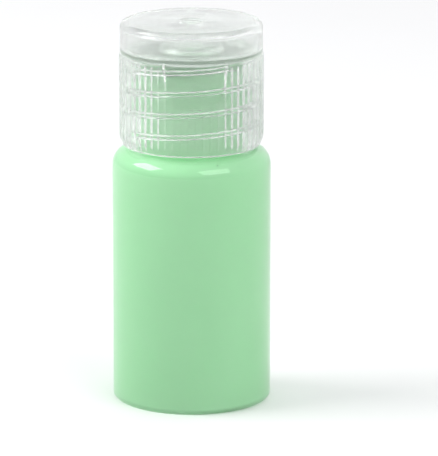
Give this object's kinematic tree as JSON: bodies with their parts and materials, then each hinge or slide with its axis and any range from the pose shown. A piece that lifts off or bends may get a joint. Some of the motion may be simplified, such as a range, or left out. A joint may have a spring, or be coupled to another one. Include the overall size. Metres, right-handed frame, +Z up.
{
  "type": "flip-top squeeze bottle of craft paint",
  "caption": "Small clear bottle of pale green paint with a ribbed screw cap, a hinged flip-top lid and a low pouring nozzle.",
  "frame": {"origin": "centre of the foot, on the surface that the bottle stands on", "axes": "+Z up along the bottle's axis, -Y to the front with the thumb recess, +Y to the hinge of the lid, +X to the right"},
  "size_m": [0.0234, 0.0234, 0.0569],
  "materials": {
    "pet_clear": "clear, high gloss",
    "paint_green": "wet acrylic paint, pale mint green",
    "foam_white": "polyethylene foam",
    "pp_natural": "natural translucent polypropylene"
  },
  "bodies": {
    "bottle": {"bottle": "pet_clear", "paint": "paint_green"},
    "liner": {"liner": "foam_white"},
    "cap": {"cap_base": "pp_natural", "hinge_film_left": "pp_natural", "hinge_film_right": "pp_natural", "hinge_snap_strap": "pp_natural"},
    "lid": {"lid": "pp_natural"}
  },
  "joints": [
    {"name": "cap_lift", "type": "slide", "parent": "bottle", "child": "liner", "axis": [0, 0, 1], "range_m": [0, 0.0143]},
    {"name": "cap_turn", "type": "hinge", "parent": "liner", "child": "cap", "pos_m": [0, 0, 0.0455], "axis": [0, 0, 1], "range_deg": [0, 1620]},
    {"name": "lid_flip", "type": "hinge", "parent": "cap", "child": "lid", "pos_m": [0, 0.0112, 0.05294], "axis": [-1, 0, 0], "range_deg": [0, 160], "deforming": ["hinge_film_left", "hinge_film_right", "hinge_snap_strap"]}
  ],
  "couplings": [
    {"joint": "cap_lift", "follows": "cap_turn", "m_per_rad": 0.00050532}
  ]
}
